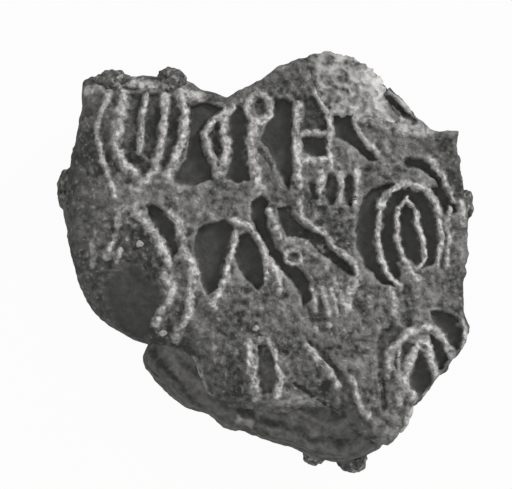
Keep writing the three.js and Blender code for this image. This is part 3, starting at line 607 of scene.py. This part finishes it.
# Grooves and cracks: the path, half the width in pixels and the depth in millimetres.
grooves_px = [
    (curve([(409, 163), (424, 166), (437, 176), (446, 190), (451, 205)]), 5.5, 1.2),
    (curve([(383, 366), (381, 384), (384, 408)]), 3.5, 0.45),
    (curve([(294, 383), (303, 389), (312, 396)]), 2.0, 0.5),
    (curve([(318, 399), (326, 402)]), 2.0, 0.5),
    (curve([(186, 103), (188, 125), (184, 150)]), 2.2, 0.5),
    (curve([(124, 88), (140, 87), (156, 88)]), 2.2, 0.5),
    (curve([(388, 98), (394, 105), (401, 112), (412, 121)]), 3.4, 0.9),
    (curve([(407, 288), (409, 304), (406, 322)]), 6.0, 0.4),
]
# Worn places: a shallow hollow at the left, two stretches of broken-up relief, the bevel under the
# crust, the film of lime beside it, and a strip at the upper right that stayed smooth.
hollow_px = [
    (108, 276), (126, 262), (142, 270), (158, 284), (164, 298), (158, 314), (150, 332), (142, 338),
    (126, 330), (112, 316), (104, 300), (102, 286),
]
rubble_px = [[
    (88, 232), (104, 216), (124, 208), (140, 214), (152, 232), (164, 256), (158, 278), (140, 270),
    (122, 262), (112, 276), (100, 290), (86, 270),
], [
    (288, 210), (304, 216), (330, 238), (354, 268), (346, 280), (318, 262), (292, 238),
]]
crust_inner_px = [
    (309, 60), (312, 78), (317, 91), (324, 104), (331, 113), (340, 114), (352, 113), (360, 117),
    (372, 116), (382, 119), (390, 122), (396, 122),
]
crust_outer_px = [
    (398, 117), (392, 109), (387, 101), (384, 94), (382, 84), (373, 74), (361, 65), (345, 59),
    (329, 53),
]
crust_middle_px = np.array([352, 90])
past_rim = 1.4
bevel_px = crust_inner_px + crust_outer_px[:4]
bevel_px += [
    tuple(crust_middle_px + past_rim * (spot - crust_middle_px)) for spot in crust_outer_px[4:]
]
# The last film outline lies over the slot beside the top flake and the crust's edge there. Its pale
# is painted light that lifts the slot's shade. The other outlines are lime film.
lime_film_px = [[
    (350, 112), (384, 112), (408, 120), (438, 131), (426, 138), (404, 136), (386, 132), (366, 124),
], [
    (389, 90), (402, 97), (412, 108), (424, 122), (414, 118), (402, 107), (393, 98),
], [
    (376, 98), (384, 99), (390, 107), (397, 115), (404, 121), (390, 124), (376, 114),
]]
smooth_strip_px = [
    (424, 134), (457, 134), (464, 200), (456, 200), (447, 178), (436, 162), (412, 152),
]
# The hollow is deeper at its foot: the depth grows with the steps down less those across.
hollow_depth, hollow_foot_depth = 0.4, 1.4
foot_start_px, foot_run_px = 115, 100
hollow_soft_px = 9
nudge_px, nudge_size = 1.6, 1.2
# A line is level out to one share of its half width, and has sunk to its root at another. Its pale
# crest fades at a third, low on its flanks. The pale is worn on the crest and painted light on the
# flanks, where it lifts their shade. A groove has such shares too.
line_level, line_foot, line_root = 0.4, 1.65, 1.8
crest_foot = 1.55
groove_floor, groove_edge = 0.4, 1.3
line_ease = 0.12
nibble_size, gnaw_size, clump_size, shard_size, swell_size = 0.5, 0.9, 1.1, 0.7, 4.0
roll_facing = math.radians(175)
roll_start, roll_full = 0.72, 0.94
rim_round, roll_round = 0.4, 0.9
rim_stray, rim_stray_size = 0.14, 1.2
streak_depth, streak_size = 0.07, 0.7
break_facing = math.radians(10)
foot_inset = 0.9
wall_rings = 14
underside_shares = (0.96, 0.86, 0.7, 0.48, 0.22)
# The bevel is a plane. At its reach from the middle it lies its drop under the crown.
bevel_facing, bevel_tilt = math.radians(55), math.radians(28)
bevel_reach, bevel_drop = 17.5, 1.6


def bevel_height(spots):
    """The plane under the crust, which falls towards the upper right."""
    out = spots[..., 0] * math.cos(bevel_facing) + spots[..., 1] * math.sin(bevel_facing)
    return crown - bevel_drop - (out - bevel_reach) * math.tan(bevel_tilt)


def greater(a, b, ease):
    """The greater of two heights, with the crease between them eased."""
    return (a + b + np.sqrt((a - b) ** 2 + ease**2)) / 2


def face_relief(flat):
    """Height above the ground at each place on the face, and masks of its crests and floors. The
    places are first nudged by noise, so that no line runs quite true."""
    x, y = to_pixels(flat)
    broken = sum(smooth(-4, 6, depth_inside(outline, x, y)) for outline in rubble_px)
    rubble = broken * smooth(-0.4, 0.4, rough(flat, 2.2, seed=77))
    to_foot = np.clip((y - x - foot_start_px) / foot_run_px, 0, 1)
    x = x + nudge_px * rougher(flat, nudge_size, seed=21)
    y = y + nudge_px * rougher(flat, nudge_size, seed=31)
    hollow = depth_inside(hollow_px, x, y) + 3 * rougher(flat, 2.0, seed=35)
    hollow = smooth(-hollow_soft_px, hollow_soft_px, hollow)
    sunk = hollow * (hollow_depth + hollow_foot_depth * to_foot)
    for outline, depth, softness in sunk_fields_px:
        wall = smooth(-softness, softness, depth_inside(outline, x, y))
        sunk = np.maximum(sunk, depth * wall)
    for path, half, depth in grooves_px:
        wall = 1 - smooth(half * groove_floor, half * groove_edge, distance_to(path, x, y))
        sunk = np.maximum(sunk, depth * wall)
    relief = -sunk
    crest = np.zeros(x.shape)
    nibble = rougher(flat, nibble_size, seed=41, octaves=2)
    gnaw = rougher(flat, gnaw_size, seed=45)
    for path, half, height in raised_lines_px:
        away = distance_to(path, x, y)
        wide = half * (0.95 + 0.4 * nibble)
        top = height * (0.5 + 0.5 * gnaw)
        line = top - (top + line_root) * smooth(line_level * wide, line_foot * wide, away)
        relief = greater(relief, line, line_ease)
        # Painted light: the pale crest reaches down the flanks and lifts the shade on them.
        pale_crest_and_lit_flank = 1 - smooth(line_level * wide, crest_foot * wide, away)
        crest = np.maximum(crest, pale_crest_and_lit_flank * smooth(0, 0.4, height))
    # The floor mask marks the sunk floors and the hollow. The finish darkens them with painted
    # shade and keeps their bump low.
    hollow_floor = hollow * (0.85 + 0.3 * rougher(flat, 1.5, seed=55))
    floor = np.maximum(smooth(0.25, 0.95, -relief), hollow_floor)
    clumps = np.maximum(rougher(flat, clump_size, seed=51, octaves=2), -0.7)
    grains = pebbles(flat, 0.75, seed=61) - 0.6 + 0.5 * rough(flat, 0.5, seed=62)
    swell = rougher(flat, swell_size, seed=71, octaves=2)
    smoothed = 1 - 0.8 * smooth(0.3, 1.1, sunk)
    rough_ground = smoothed * (0.42 * clumps + 0.12 * grains)
    relief = relief + 0.2 * swell + rough_ground + 0.1 * crest * grains
    shards = rougher(flat, shard_size, seed=75, octaves=2)
    relief = relief + 0.4 * rubble * shards
    crest = np.maximum(crest, 0.7 * rubble * smooth(0.2, 0.8, shards))
    return relief, crest, np.clip(floor, 0, 1), broken


def blurred(grid, cells):
    """The mean of a grid over a square of cells about each of its places."""
    padded = np.pad(grid, cells, mode="edge")
    window = np.lib.stride_tricks.sliding_window_view(padded, (2 * cells + 1, 2 * cells + 1))
    return window.mean(axis=(-2, -1))


def make_face():
    """A disc grid for the relief, rings down the wall and rings across the underside, which arch
    over the cord's groove. The rim is rounded over, most of all at the rolled left side."""
    share, turn, quads, edge = disc_grid(rings=138)
    bearings = np.linspace(-math.pi, math.pi, 2048, endpoint=False)
    circle = 20 * np.pad(heading(bearings), ((0, 0), (0, 1)))
    ragged = reach(face_px, bearings) + rim_stray * rougher(circle, rim_stray_size, seed=81)
    rim = np.interp(turn, bearings, ragged, period=2 * math.pi)
    around = heading(turn)
    radius = share * rim
    flat = np.column_stack([radius[:, None] * around, 0 * share])
    x, y = to_pixels(flat)

    relief, crest, floor, broken_up = face_relief(flat)
    rolled = 0.5 + 0.5 * np.cos(turn - roll_facing)
    near_roll = smooth(roll_start, roll_full, share) * rolled
    seam_width = reach(backing_px, turn) - reach(face_px, turn)
    seam_side = smooth(apron_start, apron_full_width, seam_width)
    curl = (rim_round + roll_round * rolled) * (1 - 0.8 * seam_side)
    near_rim = np.clip(1 - (rim - radius) / curl, 0, 1)
    height = crown - face_fall(turn) * share**6
    height += relief * (1 - 0.5 * np.maximum(smooth(0.97, 1, share), near_roll))
    height -= curl * (1 - np.sqrt(1 - 0.96 * near_rim**2))
    streaks = rougher(np.column_stack([radius, 4 * turn, 0 * turn]), streak_size, seed=85)
    strip = 0.7 * smooth(-4, 6, depth_inside(smooth_strip_px, x, y))
    flank = np.maximum(near_roll, np.maximum(strip, broken_up))
    height += streak_depth * streaks * flank
    under_crust = smooth(-1, 2, depth_inside(bevel_px, x, y))
    height += (np.minimum(height, bevel_height(flat)) - height) * under_crust
    side = int(math.sqrt(len(share)))
    proud = 0.5 + (relief - blurred(relief.reshape(side, side), 3).ravel()) / 0.4
    film_and_painted_light = sum(smooth(-2, 3, depth_inside(outline, x, y)) for outline in lime_film_px)
    film_and_painted_light = film_and_painted_light * (1 - under_crust)
    points = np.column_stack([flat[:, :2], height])

    edge_turn, edge_around = turn[edge], around[edge]
    foot_reach = rim[edge] - foot_inset
    foot = joint + arch(foot_reach * edge_around[:, 1])
    broken = smooth(-0.2, 0.5, np.cos(edge_turn - break_facing))
    walls = []
    for t in np.linspace(0, 1, wall_rings + 1)[1:]:
        wall_reach = rim[edge] - foot_inset * t**4
        wall_height = height[edge] * (1 - t) + foot * t
        ring = np.column_stack([wall_reach[:, None] * edge_around, wall_height])
        chips = 0.32 * rougher(ring, 1.6, seed=91) * broken
        layers = 0.18 * rougher(ring * (0.3, 0.3, 1.8), 0.9, seed=95) * (1 - broken)
        push = chips + layers + 0.08 * rough(ring, 0.5, seed=98)
        push = push * math.sin(math.pi * min(1, 1.1 * t + 0.08)) ** 0.5
        ring[:, :2] += push[:, None] * edge_around
        walls.append(ring)
    for under_share in underside_shares:
        spread = foot_reach * under_share
        roof = joint + arch(spread * edge_around[:, 1])
        walls.append(np.column_stack([spread[:, None] * edge_around, roof]))

    first, columns = len(points), len(edge)
    underside = ring_quads(len(walls), columns, first)[:, ::-1]
    hub = first + len(walls) * columns
    last = hub - columns + np.arange(columns)
    faces = [quads, collar(edge, first), underside, fan(last[::-1], hub)]
    points = np.concatenate([points, *walls, [[0, 0, joint + tunnel_radius]]])
    spare = (0, len(points) - len(share))
    masks = {
        "crest": np.pad(crest * (1 - under_crust), spare),
        "floor": np.pad(floor, spare),
        "proud": np.pad(np.clip(proud, 0, 1), spare, constant_values=0.5),
        "flank": np.pad(flank, spare, constant_values=0.6),
        "film_and_painted_light": np.pad(film_and_painted_light, spare),
    }
    return add_piece("face_clay", points, faces, masks, "face_pad")


face = make_face()
face_clay = Finish("face_clay")
crest = face_clay.mask("crest")
floor = face_clay.mask("floor")
film_and_painted_light = face_clay.mask("film_and_painted_light")
mottle = face_clay.noise(0.9)
grain = face_clay.noise(0.6, 1.0)
patches = face_clay.specks(5.0, 0.35, 0.65)
speckle = face_clay.noise(0.5, 1.0)
pale = face_clay.specks(0.65, 0.35, 0.65)
ground = 0.2 * mottle + 0.2 * speckle + 0.1 * patches + 0.14 * face_clay.mask("proud") - 0.19
# Painted shade: the ground is darkened on the rolled left flank, which slopes away from the lamp.
# The same darkening lies on the smooth strip at the upper right, on the broken-up stretches, and on
# the pad's wall and underside.
ground = ground * (1 - 0.45 * face_clay.mask("flank"))
# Painted shade: the floors take this dark tone in place of the ground's, so that all of them read
# as in shadow.
sunk = 0.035 + 0.05 * mottle
# Painted light: on the slot by the top flake, the film's pale lifts the slot's shade.
bright = crest * (0.08 + 0.34 * pale) + film_and_painted_light * (0.06 + 0.24 * pale)
flecks = 0.1 * face_clay.specks(0.6, 0.6, 0.72) * (1 - floor)
face_clay.feed(
    tone=ground * (1 - floor) + sunk * floor + bright + flecks,
    roughness=0.8 + 0.15 * grain,
    height=(0.5 * grain + 1.4 * mottle) * (1 - 0.6 * floor),
    depth=0.3,
)
face.data.materials.append(face_clay.material)


# Lime from the soil has set as a coarse crust on a broken bevel at the upper right. It is a chalky
# stone, pale and curded, that grew fast onto the clay, and its right end is worn paler and evener.
# Part of that pale right end is painted light, which lifts the shade that the top flake casts
# there.
crust_thickness = 2.0
crust_lap = 0.3
crust_below_crown = 0.15
fill_px, worn_fill_px = 25, 20
crust_clump_size, crust_curd_size = 1.4, 0.7
worn_from_px, worn_to_px = 350, 380


def make_crust():
    """A disc grid on the crust's outline, drawn a little wider so that its edge laps the clay. It
    stands off the bevel by its thickness, fills the bevel's inner edge up to the face, and is
    closed below by a skirt."""
    share, turn, quads, edge = disc_grid(rings=90)
    centre = from_middle(crust_middle_px)
    circle = np.column_stack([8 * heading(turn), 0 * turn])
    ragged = crust_lap + 0.25 * rougher(circle, 1.0, seed=109, octaves=2)
    spread = reach(crust_inner_px + crust_outer_px, turn, centre) + ragged
    flat = centre + (share * spread)[:, None] * heading(turn)
    spots = np.column_stack([flat, 0 * share])
    x, y = to_pixels(flat)
    clumps = rougher(spots, crust_clump_size, seed=101)
    curds = rougher(spots, crust_curd_size, seed=105, octaves=2)
    under = bevel_height(flat)
    worn_and_lit = smooth(worn_from_px, worn_to_px, x)
    from_inner = distance_to(np.array(crust_inner_px), x, y)
    filled = 1 - smooth(0, fill_px + worn_fill_px * worn_and_lit, from_inner)
    thick = crust_thickness + (crown - crust_below_crown - under - crust_thickness) * filled
    lift = thick + (0.45 - 0.2 * filled) * clumps + 0.26 * curds
    height = under + lift * (1 - 0.06 * share**20)
    skirt = np.column_stack([flat[edge], under[edge] + 0.3])
    hub = [[*centre, bevel_height(centre) + 0.3]]
    points = np.concatenate([np.column_stack([flat, height]), skirt, hub])
    first, columns = len(share), len(edge)
    ring = first + np.arange(columns)
    faces = [quads, collar(edge, first), fan(ring[::-1], first + columns)]
    # Painted light: the lower bound on proud pales the crust's right end, where the top flake
    # shades it.
    proud = np.clip(0.45 + 0.5 * clumps + 0.7 * curds, 0.5 * worn_and_lit, 1)
    spare = (0, columns + 1)
    masks = {"proud": np.pad(proud, spare), "worn_and_lit": np.pad(worn_and_lit, spare)}
    return add_piece("crust", points, faces, masks, "lime_crust")


crust = make_crust()
lime = Finish("lime")
chalk = lime.specks(0.75, 0.35, 0.65)
dust = lime.noise(0.5)
lime.feed(
    tone=0.14 * chalk + 0.28 * lime.mask("proud") + 0.16 * lime.mask("worn_and_lit") + 0.08 * dust + 0.02,
    roughness=0.85 + 0.1 * dust,
    height=0.6 * dust + 0.5 * chalk,
    depth=0.2,
)
crust.data.materials.append(lime.material)


# Two thin flakes stand on edge along the rim: one at the upper right before a dark slot, and one
# at the lower right. They are of the same lime, and each still sits where it split off.
def make_flake(node, path_px, half_width, seed):
    """A flattened tube along a path: an oval section carried from end to end, thinned at the ends
    as the root of a sine, and roughened."""
    low, high = (np.array(corner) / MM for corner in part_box(node))
    path = from_middle(curve(path_px, steps=12))
    sides = 24
    along = np.linspace(0, 1, len(path))
    aside = np.gradient(path, axis=0)[:, ::-1] * (-1, 1)
    aside /= np.hypot(*aside.T)[:, None]
    taper = np.sqrt(np.sin(math.pi * np.clip(along, 0.02, 0.98)))
    angle = np.linspace(0, 2 * math.pi, sides, endpoint=False)
    out = half_width * taper[:, None] * np.cos(angle)
    rise = (high[2] - low[2]) / 2 * taper[:, None] * np.sin(angle)
    flat = path[:, None] + out[..., None] * aside[:, None]
    points = np.concatenate([flat, (high[2] + low[2]) / 2 + rise[..., None]], axis=-1)
    core = points.mean(axis=1, keepdims=True)
    points = core + (points - core) * (1 + 0.5 * rougher(points, 0.8, seed))[..., None]
    ends = [points[0].mean(axis=0), points[-1].mean(axis=0)]
    points = np.concatenate([points.reshape(-1, 3), ends])
    faces = closed_rings(len(path), sides)
    masks = {"proud": np.ones(len(points))}
    flake = add_piece(node + "_piece", points, faces, masks, node)
    flake.data.materials.append(lime.material)


top_flake_px = [(392, 95), (399, 100), (406, 107), (412, 117)]
lower_flake_px = [(400, 433), (406, 419), (413, 405)]
make_flake("top_edge_flake", top_flake_px, half_width=0.3, seed=121)
make_flake("lower_edge_flake", lower_flake_px, half_width=0.55, seed=131)


# Pellets and crumbs hang on the rims: two at the top, one at each side and two at the foot. They
# are bits of the same clay that stuck while it was damp, so each is rooted in its pad.
def make_lump(node, finish, seed, root=0.0, knobs=0.3):
    """A globe stretched to its node's box, which is first drawn towards the find's middle by a
    root, and pushed in and out by noise of its own size."""
    low, high = (np.array(corner) / MM - (*middle, 0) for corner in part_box(node))
    inwards = -(low + high)[:2] * root / np.hypot(*(low + high)[:2])
    low[:2] += np.minimum(inwards, 0)
    high[:2] += np.maximum(inwards, 0)
    centre, radii = (low + high) / 2, (high - low) / 2
    rows, columns = 31, 64
    turn, tilt = np.meshgrid(np.linspace(-math.pi, math.pi, columns, endpoint=False),
                             np.linspace(-math.pi / 2, math.pi / 2, rows + 2)[1:-1])
    out, rise = heading(turn) * np.cos(tilt)[..., None], np.sin(tilt)[..., None]
    ball = np.concatenate([out, rise], axis=-1).reshape(-1, 3)
    ball = np.concatenate([ball, [[0, 0, -1], [0, 0, 1]]])
    swell = 1 + knobs * rougher(ball * radii, radii.mean() * 0.9, seed, octaves=4)
    points = centre + ball * radii * swell[:, None]
    piece = add_piece(node + "_piece", points, closed_rings(rows, columns), {}, node)
    piece.data.materials.append(finish.material)


crumb_clay = Finish("crumb_clay")
crumb_mottle = crumb_clay.noise(0.8)
crumb_grain = crumb_clay.noise(0.3)
crumb_clay.feed(
    tone=0.3 * crumb_mottle + 0.2 * crumb_grain - 0.16 + 0.22 * crumb_clay.specks(0.7, 0.55, 0.7),
    roughness=0.8 + 0.15 * crumb_grain,
    height=0.4 * crumb_grain + 1.2 * crumb_mottle,
    depth=0.25,
)
face_lumps = {"rim_pellet_left": 201, "rim_pellet_right": 202, "right_side_flake": 203}
for node, seed in face_lumps.items():
    make_lump(node, crumb_clay, seed, root=1.0, knobs=0.4)
backing_lumps = {"left_side_crumb": 211, "foot_crumb_small": 264, "foot_crumb_large": 213}
for node, seed in backing_lumps.items():
    make_lump(node, crumb_clay, seed, root=1.0, knobs=0.35)


# Single grains of pale quartz lie in the face. They were kneaded into the clay as temper, and show
# where the surface has worn down to them.
quartz = Finish("quartz")
cloud = quartz.noise(0.4)
quartz.feed(tone=0.2 + 0.3 * cloud, roughness=0.5 + 0.2 * cloud, height=cloud, depth=0.05)
for number in range(1, 6):
    make_lump(f"grit_grain_{number}", quartz, seed=220 + number)


# The table is a sheet of white paper, larger than the view. It shows white to the lens, lights the
# flanks as grey paper does, and keeps the bulla's faint shadow.
def shown_to_lens(tree):
    """1 for rays that come from the camera, a mirror or glass, and 0 for all others."""
    camera, mirror, glass = (tree.add("ShaderNodeLightPath", {}, {}, f"Is {kind} Ray")
                             for kind in ("Camera", "Glossy", "Transmission"))
    return camera.at_least(mirror).at_least(glass)


def make_table():
    """One level square with paper's colour, mixed with white light for the lens."""
    half = 4.0
    paper_grey = (0.5, 0.5, 0.5, 1)
    glow = 0.96
    mesh = bpy.data.meshes.new("table")
    corners = [(-half, -half, 0), (half, -half, 0), (half, half, 0), (-half, half, 0)]
    mesh.from_pydata(corners, [], [(0, 1, 2, 3)])
    table = bpy.data.objects.new("table", mesh)
    bpy.context.scene.collection.objects.link(table)
    paper = bpy.data.materials.new("paper")
    tree = Tree(paper)
    sheet = tree.nodes["Principled BSDF"]
    tree.fill(sheet, {"Base Color": paper_grey, "Roughness": 0.9})
    white = tree.add("ShaderNodeEmission", {}, {})
    shares = {0: glow * shown_to_lens(tree), 1: Wire(tree, sheet.outputs[0]), 2: white}
    mix = tree.add("ShaderNodeMixShader", {}, shares)
    tree.fill(tree.nodes["Material Output"], {"Surface": mix})
    mesh.materials.append(paper)


make_table()

# The sky is plain white. The lens sees it at full strength, and the find is lit by less of it.
world = bpy.data.worlds.new("studio")
bpy.context.scene.world = world
sky = Tree(world)
daylight = 0.71
sky.fill(sky.nodes["Background"], {
    "Color": (1, 1, 1, 1),
    "Strength": daylight + (1 - daylight) * shown_to_lens(sky),
})

# One broad lamp rakes across from the upper right, at the height that brings up the relief. With
# the plain white sky it gives a plain level of light.
lamp = bpy.data.lights.new("raking_lamp", "SUN")
lamp.energy = 2.1
lamp.angle = math.radians(15)
sun = bpy.data.objects.new("raking_lamp", lamp)
sun.rotation_euler = (0, math.radians(63), math.radians(42))
bpy.context.scene.collection.objects.link(sun)

# The camera looks straight down, from far enough away that the flanks stay hidden. A pixel on the
# rim is as wide as in the photograph.
image_size_px = (512, 489)
camera_height = 600
rim_height = 13
camera_data = bpy.data.cameras.new("camera")
camera_data.sensor_width = 36
camera_data.lens = camera_data.sensor_width * camera_height / (image_size_px[0] * pixel)
camera = bpy.data.objects.new("camera", camera_data)
camera_spot = middle + from_middle([side / 2 for side in image_size_px])
camera.location = (*(camera_spot * MM), (rim_height + camera_height) * MM)
bpy.context.scene.collection.objects.link(camera)
bpy.context.scene.camera = camera
bpy.context.scene.view_settings.view_transform = "Standard"
